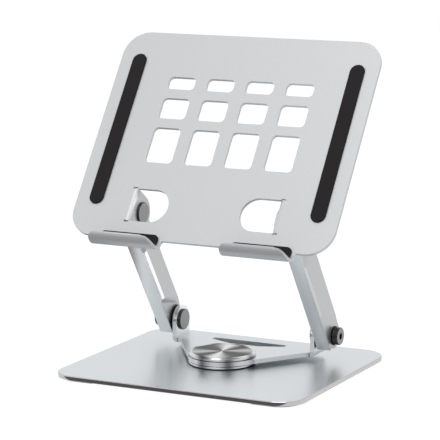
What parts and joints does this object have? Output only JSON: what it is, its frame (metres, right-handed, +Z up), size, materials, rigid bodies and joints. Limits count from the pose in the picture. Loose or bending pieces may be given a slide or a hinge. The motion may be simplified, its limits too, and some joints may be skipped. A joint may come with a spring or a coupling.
{
  "type": "laptop stand",
  "caption": "Folding laptop stand in silver sheet metal: flat base plate, swivel bracket, pair of channel arms and a vented tray with front hooks and black rubber strips.",
  "frame": {"origin": "centre of the base plate's footprint on the floor, on the swivel's axis", "axes": "+X to the right as seen from the front, +Y to the back, +Z up"},
  "size_m": [0.258, 0.21, 0.2941],
  "materials": {
    "base": "fine sandblasted, anodised",
    "sheet": "fine sandblasted, anodised",
    "turned_steel": "turned, with a spun face",
    "fastener_steel": "plain bright steel",
    "washer_black": "matt nylon",
    "foot_rubber": "matt rubber",
    "grip_rubber": "matt silicone"
  },
  "bodies": {
    "base": {"base_plate": "base", "front_left_foot": "foot_rubber", "front_right_foot": "foot_rubber", "rear_left_foot": "foot_rubber", "rear_right_foot": "foot_rubber", "thrust_washer": "washer_black", "lower_ring": "turned_steel", "lower_slip_washer": "washer_black", "upper_slip_washer": "washer_black", "swivel_cap": "turned_steel", "pivot_screw": "fastener_steel"},
    "swivel": {"swivel_bracket": "sheet", "lower_barrel_nuts": "fastener_steel", "lower_hinge_bolts": "fastener_steel", "lower_friction_washers": "washer_black", "lower_head_washers": "washer_black"},
    "arms": {"left_arm": "sheet", "right_arm": "sheet", "lower_spacers": "fastener_steel", "upper_spacers": "fastener_steel"},
    "tray": {"tray": "sheet", "left_grip_strip": "grip_rubber", "right_grip_strip": "grip_rubber", "left_hook_liner": "grip_rubber", "right_hook_liner": "grip_rubber", "upper_barrel_nuts": "fastener_steel", "upper_hinge_bolts": "fastener_steel", "upper_friction_washers": "washer_black", "upper_head_washers": "washer_black"}
  },
  "joints": [
    {"name": "swivel_turn", "type": "hinge", "parent": "base", "child": "swivel", "pos_m": [0, 0, 0.0108], "axis": [0, 0, 1], "continuous": true},
    {"name": "arms_swing", "type": "hinge", "parent": "swivel", "child": "arms", "pos_m": [0, 0.054, 0.0282], "axis": [1, 0, 0], "range_deg": [-34, 43]},
    {"name": "tray_tilt", "type": "hinge", "parent": "arms", "child": "tray", "pos_m": [0, -0.02209, 0.1408], "axis": [-1, 0, 0], "range_deg": [-30, 80]}
  ]
}
